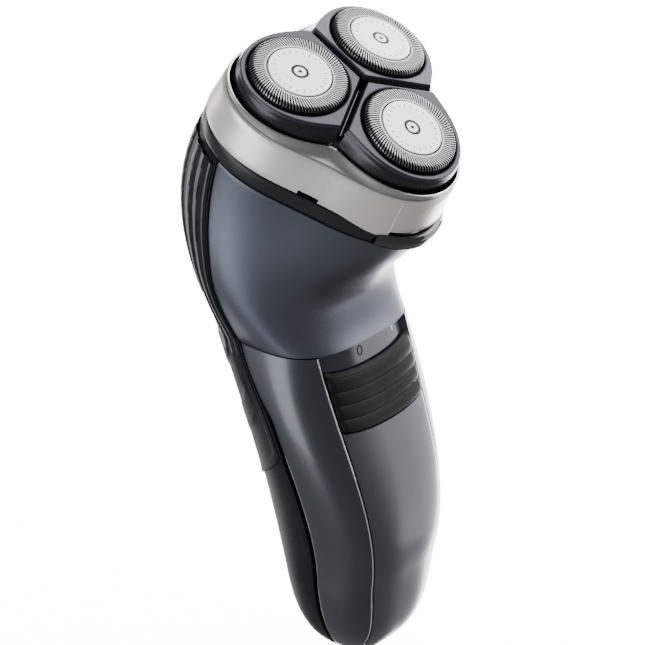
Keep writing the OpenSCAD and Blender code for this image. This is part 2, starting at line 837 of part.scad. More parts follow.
module switch_pad() {
    color("#1b1b1d") intersection() {
        skin_patch(1.5, 1.99, 10, 20, function (s) 200, function (s) 340, 0.6, -0.8);
        insert_prism(insert_low, seam_z + 8, 0.35);
        switch_band(switch_low, switch_high, 0.1);
    }
}

module switch_slider() {
    color("#dcd9cf") {
        block([-2, -13.1, switch_low + 1.9], [2, -10.9, switch_low + 5.8]);
    }
}

front_shell();
front_panel();
switch_bed();
neck_shell();
rear_shell();
rear_grip();
collar();
spindle_deck();
deck_screws();
gear_plate();
motor_mount();
motor_can();
battery_cell_left();
battery_cell_right();
battery_contacts();
circuit_board();
circuit_parts();
charging_inlet();
contact_pins();
hinge_bracket();
hinge_pin();
button_spring();
head_holder();
hinge_leaf();
frame_carrier();
retaining_plate();
locking_wheel();
cutter_frame_front();
cutter_frame_left();
cutter_frame_right();
cutter_cap_front();
cutter_cap_left();
cutter_cap_right();
cap_disc_front();
cap_disc_left();
cap_disc_right();
rotary_cutter_front();
rotary_cutter_left();
rotary_cutter_right();
drive_gear_front();
drive_gear_left();
drive_gear_right();
drive_spindle_front();
drive_spindle_left();
drive_spindle_right();
spindle_spring_front();
spindle_spring_left();
spindle_spring_right();
motor_pinion();
release_button();
switch_pad();
switch_slider();
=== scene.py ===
import math

import bpy
import numpy as np
from mathutils import Matrix, Vector


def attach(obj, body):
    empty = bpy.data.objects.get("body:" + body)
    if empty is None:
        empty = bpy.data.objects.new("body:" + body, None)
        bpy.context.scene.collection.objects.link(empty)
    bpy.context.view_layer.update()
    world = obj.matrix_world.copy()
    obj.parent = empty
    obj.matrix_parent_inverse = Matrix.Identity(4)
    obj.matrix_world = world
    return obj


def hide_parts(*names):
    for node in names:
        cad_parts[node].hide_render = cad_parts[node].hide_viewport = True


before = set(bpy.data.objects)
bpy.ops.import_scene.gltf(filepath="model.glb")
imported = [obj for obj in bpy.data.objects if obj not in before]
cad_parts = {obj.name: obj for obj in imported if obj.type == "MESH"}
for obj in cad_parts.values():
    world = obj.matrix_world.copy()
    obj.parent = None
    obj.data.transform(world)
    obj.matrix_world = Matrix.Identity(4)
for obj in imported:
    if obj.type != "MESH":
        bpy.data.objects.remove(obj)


def write_size():
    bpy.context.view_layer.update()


write_size()

# ---------- shape of the part, in millimetres and degrees ----------

# head: tilt and place of its own frame, the holder's rounded triangle, the caps
HEAD_TILT = 35
HEAD_Y, HEAD_Z = -14.9, 142.4
FRONT = 270
DIRECTIONS = {"front": FRONT, "left": 150, "right": 30}
HOLDER_R, HOLDER_BULGE, EDGE_BULGE = 27.1, 0.122, 0.138
RIM_LOW, RIM_EDGE, RIM_LIP = -17.1, -8.4, -6.2
NOTCH = (203.4, 215.1)
BUTTON_CUT = 19.0
CAP_R, CAP_ORBIT, CAP_LEAN, DISC_R = 11.0, 15.4, 6.2, 7.1
SLOTS, SLOT_DEPTH = 96, 0.5
TICK_TURN = {"front": 50, "left": 100, "right": 20}
LOBE_WAIST, LOBE_TIP, LOBE_POWER = 17.3, 28.7, 0.725
# half widths of the Y-shaped gap between the frames' tops and between their skirts
FRAME_GAP, SKIRT_GAP, SKIRT_Z = 0.55, 1.05, -2.8

# body: rounded end, four handle stations, seam, neck
END_Z, END_APEX, END_POWER, END_CARRY = 22.9, -2.5, 2.05, 0.85
SEAM_Z, SEAM_TILT = 80.4, 5.8
STATION_Z = (END_Z, 44.9, 66.4, SEAM_Z)
HALF_WIDTH = (16.2, 19.4, 22.1, 21.0)
FRONT_EDGE = (-19.2, -20.3, -14.5, -11.8)
REAR_EDGE = (11.9, 13.6, 16.8, 23.5)
SIDE_POWER = 3
NECK_MID, NECK_MID_Y, NECK_MID_Z, NECK_MID_TILT = (27.2, 15.2, 13.1), 7.9, 104.6, 23
NECK_TOP, NECK_TOP_R, NECK_TOP_BULGE = -21.8, 26.6, 0.11
NECK_TOP_HALVES, NECK_POWER_DROP = (27, 29, 24), 0.7

# front insert and its slide switch
INSERT_LOW, INSERT_CORNER = 3.0, 3.0
SWITCH_LOW, SWITCH_HIGH, SAG, SAG_HALF = 62.9, 76.8, 1.4, 15
BED_DEPTH = -1.35
PAD_TOP, PAD_RIDGES = 0.93, 4
INLET_W, INLET_H = 11.0, 7.6

# rear grip: rows it covers, its height, the nested ribs' bands and height
GRIP_LOW, GRIP_HIGH, GRIP_OUT = 1.388, 2.965, 0.62
BANDS = ((1.7, 3.5), (6.5, 9.7), (12.8, 16.4), (21.3, 25.8))
RIB, RIB_EDGE = 0.36, 0.7

# the visual skins lie this far inside the CAD surfaces
INSET = 0.04
# profile of a skin's folded edge: distance from the edge, depth
EDGE = ((0.0, -1.5), (0.0, -0.30), (0.06, -0.12), (0.16, -0.03), (0.34, 0.0))


def along(q, z):
    """Cubic through the four handle stations."""
    total = 0
    for i in range(4):
        term = q[i]
        for j in range(4):
            if j != i:
                term = term * (z - STATION_Z[j]) / (STATION_Z[i] - STATION_Z[j])
        total = total + term
    return total


def three(v, a, b, c):
    """Parabola that is a, b and c at 0, 0.5 and 1."""
    return a * (1 - v) * (1 - 2 * v) + b * 4 * v * (1 - v) + c * v * (2 * v - 1)


def mix(a, b, t):
    return a * (1 - t) + b * t


def smooth(u):
    return u * u * (3 - 2 * u)


def rounded(phi, a, f, r, power):
    """Superellipse with half width a, depth f to the front and r to the rear."""
    c, s = np.cos(np.radians(phi)), np.sin(np.radians(phi))
    e = np.where(s < 0, 2 / power, 2 / SIDE_POWER)
    x = a * np.sign(c) * np.abs(c) ** e
    y = np.where(s < 0, f, r) * np.sign(s) * np.abs(s) ** e
    return x, y


def triangle_r(phi, r, bulge):
    """Radius of a rounded triangle with one corner at the front."""
    return r * (1 + bulge * np.cos(np.radians(3 * (phi - FRONT))))


def lobe_r(delta, grow=0.0):
    """Radius of the three lobes round the caps, by the angle from a lobe's middle."""
    wave = (1 + np.cos(np.radians(3 * delta))) / 2
    return LOBE_WAIST + grow + (LOBE_TIP - LOBE_WAIST) * wave ** LOBE_POWER


def polar(phi, radius, z):
    z = np.broadcast_to(np.asarray(z, float), phi.shape)
    return np.stack([radius * np.cos(np.radians(phi)), radius * np.sin(np.radians(phi)), z], -1)


def from_head(p):
    """Points of the head's frame in the part's frame."""
    p = np.asarray(p, float)
    c, s = math.cos(math.radians(HEAD_TILT)), math.sin(math.radians(HEAD_TILT))
    y = HEAD_Y + p[..., 1] * c - p[..., 2] * s
    z = HEAD_Z + p[..., 1] * s + p[..., 2] * c
    return np.stack([p[..., 0], y, z], -1)


def at_cap(direction, p):
    """Points of a cutter's own frame (+Y away from the head's centre) in the part's frame."""
    p = np.asarray(p, float)
    c, s = math.cos(math.radians(CAP_LEAN)), math.sin(math.radians(CAP_LEAN))
    y = CAP_ORBIT + p[..., 1] * c + p[..., 2] * s
    z = -p[..., 1] * s + p[..., 2] * c
    a = math.radians(direction - 90)
    return from_head(np.stack([p[..., 0] * math.cos(a) - y * math.sin(a),
                               p[..., 0] * math.sin(a) + y * math.cos(a), z], -1))


def end_skin(s, phi, d):
    """The rounded lower end, which takes over the handle's slopes."""
    z = END_Z * (1 - np.cos(np.radians(90 * np.clip(s, 0, 1))))
    k = (1 - np.clip((END_Z - z) / (END_Z - END_APEX + d), 0, 1) ** END_POWER) ** (1 / END_POWER)
    carry = END_CARRY * (END_Z - z) * (z / END_Z) ** 2
    step = 0.1
    front, rear, half = (q[0] - carry * (along(q, END_Z + step) - q[0]) / step
                         for q in (FRONT_EDGE, REAR_EDGE, HALF_WIDTH))
    depth = (rear - front) / 2 + d
    x, y = rounded(phi, (half + d) * k, depth * k, depth * k, SIDE_POWER)
    return np.stack([x, (front + rear) / 2 * k + y, z], -1)


def handle_skin(s, phi, d):
    """The handle, whose rows tilt more and more towards the seam."""
    w = np.clip(s - 1, 0, 1)
    z = END_Z + (SEAM_Z - END_Z) * w
    front = along(FRONT_EDGE, z)
    depth = (along(REAR_EDGE, z) - front) / 2 + d
    x, y = rounded(phi, along(HALF_WIDTH, z) + d, depth, depth, SIDE_POWER)
    y = front - d + depth + y
    return np.stack([x, y, z + np.tan(np.radians(SEAM_TILT * w * w)) * (y - front)], -1)


def neck_skin(s, phi, d):
    """The neck, which turns from the seam's oval into the holder's rounded triangle."""
    v = np.clip(s - 2, 0, 1)
    depth = (REAR_EDGE[3] - FRONT_EDGE[3]) / 2
    seam = math.radians(SEAM_TILT)
    top = from_head([0, 0, NECK_TOP])
    tilt = np.radians(three(v, SEAM_TILT, NECK_MID_TILT, HEAD_TILT))
    centre_y = three(v, FRONT_EDGE[3] + depth, NECK_MID_Y, top[1])
    centre_z = three(v, SEAM_Z + math.tan(seam) * depth, NECK_MID_Z, top[2])
    at_seam = (HALF_WIDTH[3], depth / math.cos(seam), depth / math.cos(seam))
    halves = [three(v, a, b, c) + d for a, b, c in zip(at_seam, NECK_MID, NECK_TOP_HALVES)]
    x, y = rounded(phi, *halves, SIDE_POWER - NECK_POWER_DROP * v)
    t = triangle_r(phi, NECK_TOP_R, NECK_TOP_BULGE) + d
    m = smooth(v)
    x = mix(x, t * np.cos(np.radians(phi)), m)
    y = mix(y, t * np.sin(np.radians(phi)), m)
    return np.stack([x, centre_y + y * np.cos(tilt), centre_z + y * np.sin(tilt)], -1)


def skin(s, phi, d=0.0):
    """Point on the body: s 0..1 end, 1..2 handle, 2..3 neck; phi from +X to the rear; d outwards."""
    s, phi, d = np.broadcast_arrays(np.asarray(s, float), np.asarray(phi, float), np.asarray(d, float))
    parts = end_skin(s, phi, d), handle_skin(s, phi, d), neck_skin(s, phi, d)
    s = s[..., None]
    return np.where(s < 1, parts[0], np.where(s < 2, parts[1], parts[2]))


def on_front(x, z):
    """(s, phi) of the handle's front point with that x and z."""
    x, z = np.broadcast_arrays(np.asarray(x, float), np.asarray(z, float))
    level = z.copy()
    for _ in range(6):
        low = level < END_Z
        s = np.where(low, np.degrees(np.arccos(np.clip(1 - level / END_Z, 0, 1))) / 90,
                     1 + (level - END_Z) / (SEAM_Z - END_Z))
        s = np.minimum(s, 1.9999)
        half = skin(s, np.zeros_like(s))[..., 0]
        share = -np.sign(x) * np.abs(x / half) ** (SIDE_POWER / 2)
        phi = 180 + np.degrees(np.arccos(np.clip(share, -1, 1)))
        # the handle's rows tilt, so the height is found step by step
        level = level + (z - skin(s, phi)[..., 2]) * np.where(low, 0, 1)
        level = np.clip(level, 0, SEAM_Z)
    return s, phi


def front_skin(x, z, d=0.0):
    s, phi = on_front(x, z)
    return skin(s, phi, d)


def rear_start(s):
    """Angle by which the rear shell gives way to the front shells, from the side's widest line."""
    s = np.asarray(s, float)
    at_seam = smooth(np.clip((s - 1.7) / 0.28, 0, 1))
    in_neck = np.maximum(0, s - 2.45) / 0.55
    return 4.5 * at_seam + 11.5 * in_neck ** 1.4


def insert_half(z):
    """Half width of the front insert at a height, with its rounded lower end."""
    z = np.asarray(z, float)
    up = np.maximum(z, INSERT_LOW + INSERT_CORNER) - 5
    half = 9 + 0.135 * up - 0.0007 * up ** 2
    u = np.clip((INSERT_LOW + INSERT_CORNER - z) / INSERT_CORNER, 0, 1)
    return half - INSERT_CORNER * (1 - np.sqrt(1 - u * u))


def arc_z(z_corner, x):
    """Height along one of the switch's sagging arcs, given its height at the arc's ends."""
    return z_corner + SAG * (x / SAG_HALF) ** 2 - SAG


# ---------- mesh builders ----------


def add_mesh(name, points, faces, materials, index=None, angle=38):
    """Smooth-shaded mesh from points in millimetres, sharp where faces meet at more than the angle."""
    mesh = bpy.data.meshes.new(name)
    mesh.from_pydata((np.asarray(points, float) * 0.001).tolist(), [], faces)
    for m in materials:
        mesh.materials.append(m)
    if index is not None:
        mesh.polygons.foreach_set("material_index", np.asarray(index, np.int32))
    mesh.polygons.foreach_set("use_smooth", [True] * len(mesh.polygons))
    mesh.update()
    mesh.set_sharp_from_angle(angle=math.radians(angle))
    piece = bpy.data.objects.new(name, mesh)
    bpy.context.scene.collection.objects.link(piece)
    return piece


def add_grid(name, p, materials, index=None, closed=False, angle=38, flip=False):
    """Mesh from rows and columns of points. index gives a material for each row or each face."""
    rows, cols = p.shape[:2]
    wide = cols if closed else cols - 1
    i, j = np.meshgrid(np.arange(rows - 1), np.arange(wide), indexing="ij")
    k = (j + 1) % cols
    quads = np.stack([i * cols + j, i * cols + k, (i + 1) * cols + k, (i + 1) * cols + j], -1).reshape(-1, 4)
    if flip:
        quads = quads[:, ::-1]
    if index is not None:
        index = np.asarray(index)
        if index.ndim == 1:
            index = np.repeat(index[:, None], wide, 1)
        index = index.reshape(-1)
    return add_mesh(name, p.reshape(-1, 3), quads.tolist(), materials, index, angle)


def joined(name, parts):
    """One object from several."""
    bpy.ops.object.select_all(action="DESELECT")
    for o in parts:
        o.select_set(True)
    bpy.context.view_layer.objects.active = parts[0]
    bpy.ops.object.join()
    parts[0].name = name
    return parts[0]


def finish_piece(piece, body, slot, *nodes):
    """Attach the piece to the body it rides on and hide the CAD nodes it stands for; slot is not used."""
    if nodes:
        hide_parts(*nodes)
    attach(piece, body)
    return piece


def per_mm(s, phi, step):
    """Degrees of phi for each millimetre round the body, from phi towards phi + step."""
    return 1 / max(np.linalg.norm(skin(s, phi + step) - skin(s, phi)), 0.05)


def spread(low, high, count, scale_low, scale_high):
    """Grid values from low to high with folded edges: (values, depths). scale is units per millimetre."""
    start = [(low + a * scale_low, d) for a, d in EDGE]
    stop = [(high - a * scale_high, d) for a, d in reversed(EDGE)]
    inner = np.linspace(start[-1][0], stop[0][0], count + 2)[1:-1]
    both = start + [(v, 0.0) for v in inner] + stop
    return np.array([v for v, _ in both]), np.array([d for _, d in both])


# ---------- materials ----------


def material(name, base, rough, metal=0.0, grain=0.05, scale=2500.0, bump=0.0, coat=0.0, spread_rough=0.04,
             stretch=None, detail=2.0, specular=0.5):
    """Procedural finish: noise in the part's own space drives the colour, the roughness and a small bump."""
    m = bpy.data.materials.new(name)
    m.use_nodes = True
    nodes, links = m.node_tree.nodes, m.node_tree.links
    shader = nodes["Principled BSDF"]
    place = nodes.new("ShaderNodeTexCoord")
    noise = nodes.new("ShaderNodeTexNoise")
    noise.inputs["Scale"].default_value = scale
    noise.inputs["Detail"].default_value = detail
    source = place.outputs["Object"]
    if stretch:
        mapping = nodes.new("ShaderNodeMapping")
        mapping.inputs["Scale"].default_value = stretch
        links.new(source, mapping.inputs["Vector"])
        source = mapping.outputs["Vector"]
    links.new(source, noise.inputs["Vector"])
    tone = nodes.new("ShaderNodeValToRGB")
    tone.color_ramp.elements[0].position = 0.3
    tone.color_ramp.elements[1].position = 0.7
    tone.color_ramp.elements[0].color = [max(0, c * (1 - grain)) for c in base] + [1]
    tone.color_ramp.elements[1].color = [min(1, c * (1 + grain)) for c in base] + [1]
    links.new(noise.outputs["Fac"], tone.inputs["Fac"])
    links.new(tone.outputs["Color"], shader.inputs["Base Color"])
    sheen = nodes.new("ShaderNodeValToRGB")
    sheen.color_ramp.elements[0].color = [rough - spread_rough] * 3 + [1]
    sheen.color_ramp.elements[1].color = [rough + spread_rough] * 3 + [1]
    links.new(noise.outputs["Fac"], sheen.inputs["Fac"])
    links.new(sheen.outputs["Color"], shader.inputs["Roughness"])
    shader.inputs["Metallic"].default_value = metal
    shader.inputs["Coat Weight"].default_value = coat
    shader.inputs["Coat Roughness"].default_value = 0.12
    shader.inputs["Specular IOR Level"].default_value = specular
    if bump:
        relief = nodes.new("ShaderNodeBump")
        relief.inputs["Strength"].default_value = bump
        relief.inputs["Distance"].default_value = 0.0002
        links.new(noise.outputs["Fac"], relief.inputs["Height"])
        links.new(relief.outputs["Normal"], shader.inputs["Normal"])
    return m


MAT = {
    "holder": material("holder_silver", (0.66, 0.64, 0.59), 0.36, 0.55, 0.03, 5000, 0.04),
    # darker copy of the holder's silver: painted shade on the shoulder
    "shoulder": material("holder_shoulder_painted_shade", (0.26, 0.26, 0.25), 0.34, 0.5, 0.03, 5000, 0.03),
    # paler silver: painted highlight on the holder's upper edge and lip, and the colour of the printed on
    # mark
    "lip": material("lip_painted_highlight_and_print", (0.75, 0.74, 0.70), 0.25, 0.6, 0.02, 5000, 0.0),
    "frame": material("frame_violet", (0.036, 0.034, 0.046), 0.33, 0.45, 0.06, 6000, 0.04, specular=0.3),
    "skirt": material("frame_skirt", (0.008, 0.008, 0.010), 0.28, 0.0, 0.1, 3000, 0.02, 0.1, specular=0.3),
    "black": material("inner_black", (0.005, 0.005, 0.006), 0.5, 0.0, 0.1, 3000, 0.0, specular=0.1),
    "steel": material("cutter_steel", (0.25, 0.25, 0.25), 0.34, 1.0, 0.04, 3000, 0.02),
    "slot": material("slot_black", (0.004, 0.004, 0.004), 0.6, 0.0, 0.1, 3000, 0.0, specular=0.06),
    # darker copy of the cutter steel: painted shade on the caps' rounded edge and side wall
    "edge": material("cutter_steel_painted_shade", (0.20, 0.20, 0.205), 0.36, 1.0, 0.05, 3000, 0.02),
    "disc": material("cap_disc_steel", (0.90, 0.90, 0.90), 0.40, 0.3, 0.02, 2600, 0.02),
    "mark": material("mark_dark", (0.012, 0.012, 0.014), 0.4, 0.0, 0.05, 3000, 0.0, specular=0.1),
    "collar": material("collar_charcoal", (0.012, 0.012, 0.014), 0.34, 0.1, 0.08, 5000, 0.05, specular=0.25),
    "button": material("button_gloss", (0.010, 0.010, 0.012), 0.10, 0.0, 0.05, 3000, 0.0, 0.7),
    "neck": material("neck_metallic", (0.090, 0.098, 0.122), 0.42, 0.8, 0.10, 6000, 0.04),
    "handle": material("handle_gunmetal", (0.062, 0.065, 0.075), 0.34, 0.8, 0.05, 6000, 0.02, 0.2),
    # pale metal for the bead on the insert's edge: painted highlight
    "bead": material("bead_painted_highlight", (0.70, 0.70, 0.70), 0.22, 0.8, 0.02, 5000, 0.0),
    "panel": material("insert_gunmetal", (0.092, 0.094, 0.107), 0.38, 0.8, 0.05, 6000, 0.02, 0.2),
    "band": material("switch_band", (0.028, 0.032, 0.045), 0.16, 0.4, 0.04, 5000, 0.01, 0.4),
    "pad": material("switch_rubber", (0.006, 0.006, 0.007), 0.50, 0.0, 0.15, 6000, 0.12, specular=0.16),
    "grip": material("grip_rubber", (0.006, 0.006, 0.007), 0.50, 0.0, 0.15, 4000, 0.10, specular=0.2),
    # pale speckled rubber for the rib crests: a speckle texture, made paler as a painted highlight
    "rib": material("rib_speckle_and_painted_highlight", (0.085, 0.082, 0.092), 0.45, 0.1, 0.60, 7000, 0.35, detail=4.0),
    "rear": material("rear_charcoal", (0.006, 0.006, 0.007), 0.42, 0.0, 0.10, 5000, 0.10, specular=0.09),
    "inlet": material("inlet_black", (0.010, 0.010, 0.011), 0.5, 0.0, 0.1, 3000, 0.08),
    "brass": material("contact_plated", (0.80, 0.62, 0.30), 0.25, 1.0, 0.05, 4000, 0.02),
    "cream": material("gear_cream", (0.72, 0.69, 0.60), 0.45, 0.0, 0.05, 4000, 0.05),
    "spring": material("spring_steel", (0.62, 0.62, 0.64), 0.28, 1.0, 0.05, 4000, 0.02),
    "motor": material("motor_metal", (0.50, 0.50, 0.52), 0.35, 1.0, 0.06, 800, 0.05, stretch=(1, 1, 14)),
    "cell": material("cell_wrap", (0.08, 0.20, 0.32), 0.30, 0.0, 0.05, 2000, 0.02, 0.3),
    "board": material("board_green", (0.02, 0.15, 0.06), 0.40, 0.0, 0.15, 1500, 0.10),
    "blade": material("blade_steel", (0.55, 0.55, 0.57), 0.22, 1.0, 0.05, 4000, 0.03),
}


# ---------- shaving unit ----------


def holder_lower_edge(phi):
    """Height of the holder's lower edge: a small notch at one side and a cut-out over the release button."""
    off = np.abs((phi - FRONT + 180) % 360 - 180)
    dip = np.where(off > BUTTON_CUT, 1.7 * smooth(np.clip((46 - off) / 26, 0, 1)), 0.0)
    notch = np.where((phi > NOTCH[0]) & (phi < NOTCH[1]), 1.0, 0.0)
    return RIM_LOW - dip + notch


def head_holder():
    """Silver wall with its lower edge, upper edge in painted highlight, sunk shoulder in painted shade, and
    the lip round the frames in painted highlight.
    """
    jumps = [a + step for a in NOTCH for step in (-0.01, 0.01)]
    jumps += [FRONT + side + step for side in (-BUTTON_CUT, BUTTON_CUT) for step in (-0.02, 0.02)]
    phi = np.unique(np.concatenate([np.arange(0, 360, 1.0), jumps]))
    low = holder_lower_edge(phi)
    inner_low = np.maximum(low, RIM_LOW + 0.1)
    silver, painted_shade_rows, painted_highlight_rows, dark = range(4)

    def wall(z, inset, bulge=HOLDER_BULGE):
        return polar(phi, triangle_r(phi, HOLDER_R - inset, bulge), z)

    def lobes(z, grow):
        return polar(phi, lobe_r(phi - FRONT, grow), z)

    bottom = wall(low + 0.16, INSET)
    edge_out = wall(RIM_EDGE - 0.12, 1.0 + INSET, EDGE_BULGE)
    edge_in = wall(RIM_EDGE, 1.14, EDGE_BULGE)
    shoulder = wall(RIM_EDGE + 0.42, 1.75, EDGE_BULGE)
    lip = lobes(RIM_LIP - 0.12, 0.95)
    sag = np.array([0, 0, 0.35])
    rows = [(lobes(RIM_LIP - 1.3, 0.28), dark), (lobes(RIM_LIP - 2.0, 0.1), dark),
            (wall(inner_low + 0.3, 1.55), dark), (wall(inner_low + 0.05, 1.45), dark),
            (wall(np.maximum(low, RIM_LOW), 0.18), silver), (wall(low, 0.14), silver),
            (wall(low + 0.05, 0.07), silver)]
    rows += [(mix(bottom, edge_out, t), silver) for t in (0, 0.2, 0.4, 0.6, 0.8, 1.0)]
    # the paler rows on the upper edge are painted highlight, the darker shoulder rows are painted shade
    rows += [(mix(edge_out, edge_in, 0.6), painted_highlight_rows), (edge_in, painted_highlight_rows),
             (mix(edge_in, shoulder, 0.5), painted_shade_rows)]
    rows += [(mix(shoulder, lip, t) - sag * math.sin(math.pi * t), painted_shade_rows)
             for t in (0, 0.1, 0.3, 0.5, 0.7, 0.9, 1.0)]
    # the paler rows along the lip round the frames are painted highlight
    rows += [(lobes(RIM_LIP, 0.80), painted_highlight_rows), (lobes(RIM_LIP, 0.42), painted_highlight_rows),
             (lobes(RIM_LIP - 0.12, 0.30), dark), (lobes(RIM_LIP - 1.3, 0.28), dark)]
    materials = [MAT["holder"], MAT["shoulder"], MAT["lip"], MAT["black"]]
    piece = add_grid("head_holder_shell", from_head(np.array([row for row, _ in rows])), materials,
                     [m for _, m in rows][:-1], closed=True, angle=42)
    return finish_piece(piece, "shaving_unit", "head_holder", "head_holder")


def lobe_outline(gap):
    """Outline of one frame round its own cap, as points and outward mitred normals."""
    corner = math.radians(60)
    shift = gap / math.sin(corner)

    def lobe_point(delta):
        return lobe_r(delta) * math.sin(math.radians(delta)), lobe_r(delta) * math.cos(math.radians(delta))

    # the arm ends where the gap's straight edge meets the lobes' common outline
    for end in np.arange(60, 30, -0.02):
        x, y = lobe_point(end)
        if (y - shift) * math.sin(corner) - x * math.cos(corner) >= 0:
            break
    arc = [lobe_point(a) for a in np.linspace(-end, end, 91)]
    centre, first, last = np.array([0, shift]), np.array(arc[0]), np.array(arc[-1])
    steps = np.linspace(0, 1, 25)[1:]
    inward = [last + (centre - last) * t for t in steps]
    outward = [centre + (first - centre) * t for t in steps[:-1]]
    p = np.array(arc + inward + outward)
    p[:, 1] -= CAP_ORBIT
    before, after = p - np.roll(p, 1, 0), np.roll(p, -1, 0) - p
    normals = [np.stack([-e[:, 1], e[:, 0]], -1) / np.linalg.norm(e, axis=1)[:, None]
               for e in (before, after)]
    share = np.maximum(1 + (normals[0] * normals[1]).sum(1), 0.25)
    return p, (normals[0] + normals[1]) / share[:, None]


def cutter_frame(key, direction):
    """Frame round one cap: flat top with rounded edges, dark well, and a black skirt with a wider gap."""
    p, n = lobe_outline(FRAME_GAP)
    p_low, n_low = lobe_outline(SKIRT_GAP)
    a = np.degrees(np.arctan2(p[:, 1], p[:, 0]))

    def outer(inset, z):
        q = p - n * inset if z > SKIRT_Z else p_low - n_low * inset
        return np.column_stack([q, np.full(len(q), z)])

    def inner(r, z):
        return polar(a, r, z)

    def part(name, rows, finish, angle):
        points = at_cap(direction, np.array(rows))
        return add_grid(f"{name}_{key}", points, [MAT[finish]], closed=True, angle=angle)

    top_in, top_out = inner(11.9, -1.34), outer(0.72, -1.34)
    top = [inner(11.72, -1.42), inner(11.78, -1.36), top_in]
    top += [mix(top_in, top_out, t) for t in (0.2, 0.4, 0.6, 0.8, 0.95)]
    top += [top_out] + [outer(*v) for v in ((0.62, -1.37), (0.52, -1.50), (0.43, -1.80), (0.40, -2.15))]
    well = [inner(*v) for v in ((11.47, -3.0), (11.47, -1.6), (11.52, -1.46), (11.6, -1.42), (11.72, -1.42))]
    skirt = [outer(*v) for v in ((0.40, -2.15), (0.36, -2.25), (0.27, -2.45), (0.17, -2.7), (0.09, -3.1),
                                 (0.04, -3.6), (0.03, -4.5), (0.03, -6.2), (0.7, -6.2), (0.78, -4.0))]
    parts = [part("cutter_frame_top", top, "frame", 50), part("frame_well", well, "black", 60),
             part("frame_skirt", skirt, "skirt", 60)]
    return finish_piece(joined(f"cutter_frame_cover_{key}", parts), "frame_" + key, "cutter_frames",
                        "cutter_frame_" + key)


def gap_rib(name, direction):
    """Thin rib that stands in the gap between two neighbouring frames."""
    a = math.radians(direction)
    arm, across = np.array([math.cos(a), math.sin(a)]), np.array([-math.sin(a), math.cos(a)])
    half, bevel, depth = 0.19, 0.12, 4.2
    rows = []
    for r in np.linspace(1.2, 16.9, 24):
        z = -2.55 - 0.055 * max(0, r - 4)
        cross = [(-half, z - depth), (-half, z - bevel), (-bevel, z),
                 (bevel, z), (half, z - bevel), (half, z - depth)]
        rows.append([[*(arm * r + across * u), h] for u, h in cross])
    piece = add_grid(name, from_head(np.array(rows)), [MAT["frame"]], angle=30)
    return finish_piece(piece, "shaving_unit", "inner_dark")


def cutter_cap(key, direction):
    """Slotted shaving ring with slightly slanted slots that wrap over its rounded edge."""
    # each slot's share of its pitch: bar, then cut
    pattern = ((0.0, 0), (0.40, 0), (0.45, 1), (0.95, 1))
    side = CAP_R - 0.03
    profile = ((DISC_R + 0.12, -0.75), (DISC_R + 0.20, -0.14), (DISC_R + 0.32, -0.04), (7.78, -0.03),
               (7.84, -0.03), (8.5, -0.03), (9.3, -0.03), (9.9, -0.05), (10.35, -0.14), (10.66, -0.34),
               (10.86, -0.62), (side - 0.01, -0.95), (side, -1.02), (side, -2.6), (side, -4.5))
    first_cut, last_cut, first_painted_shade_row = 4, 11, 9
    bend_r = profile[7][0]
    points = []
    for i, (r, z) in enumerate(profile):
        line = []
        slant = math.radians(4.5 * (r - 9) / 2)
        # the cut goes down on the flat and inwards on the rounded edge
        share = min(1.0, max(0.0, (r - bend_r) / (side - bend_r)))
        for k in range(SLOTS):
            for u, cut in pattern:
                a = 2 * math.pi * (k + u) / SLOTS + slant
                depth = SLOT_DEPTH if cut and first_cut <= i <= last_cut else 0.0
                radius = r - depth * share
                line.append((radius * math.cos(a), radius * math.sin(a), z - depth * (1 - share)))
        points.append(line)
    points = np.array(points)
    steel, slot, edge = range(3)
    index = np.full((len(points) - 1, points.shape[1]), steel)
    column = np.arange(points.shape[1]) % len(pattern)
    index[first_cut:last_cut, column > 0] = slot
    index[first_cut - 1:last_cut + 1, column == 2] = slot
    # steel faces from the rounded edge down get the darker steel: painted shade
    index[first_painted_shade_row:][index[first_painted_shade_row:] == steel] = edge
    index[:2] = slot
    materials = [MAT["steel"], MAT["slot"], MAT["edge"]]
    points = at_cap(direction, points)
    ring = add_grid(f"cutter_cap_ring_{key}", points, materials, index, closed=True, angle=35)
    return finish_piece(ring, "cap_" + key, "cutter_steel", "cutter_cap_" + key)


def cap_disc(key, direction):
    """Plain disc with a ring of even ticks and a small centre ring."""
    top = 0.14
    profile = ((DISC_R - 0.02, -0.85), (DISC_R - 0.02, 0.02), (DISC_R - 0.08, 0.10), (DISC_R - 0.22, 0.13),
               (6.2, top), (4.5, top), (2.5, top), (0.02, top))
    a = np.linspace(0, 360, 145)[:-1]
    face = np.array([polar(a, r, z) for r, z in profile])
    parts = [add_grid(f"disc_face_{key}", at_cap(direction, face), [MAT["disc"]], closed=True, angle=40)]

    def mark(name, r0, r1, a0, a1):
        t = np.linspace(a0, a1, max(2, int((a1 - a0) / 3) + 2)) + TICK_TURN[key]
        q = np.array([polar(t, r, top + 0.007) for r in (r0, r1)])
        parts.append(add_grid(name, at_cap(direction, q), [MAT["mark"]]))

    for tick in range(0, 360, 15):
        mark(f"tick_{key}", 5.4, 6.1, tick - 1.0, tick + 1.0)
    mark(f"mark_{key}", 1.35, 2.0, 0, 360)
    mark(f"mark_{key}", 0.02, 0.45, 0, 360)
    return finish_piece(joined(f"cap_disc_{key}_face", parts), "cap_" + key, "cap_disc", "cap_disc_" + key)


# ---------- body ----------


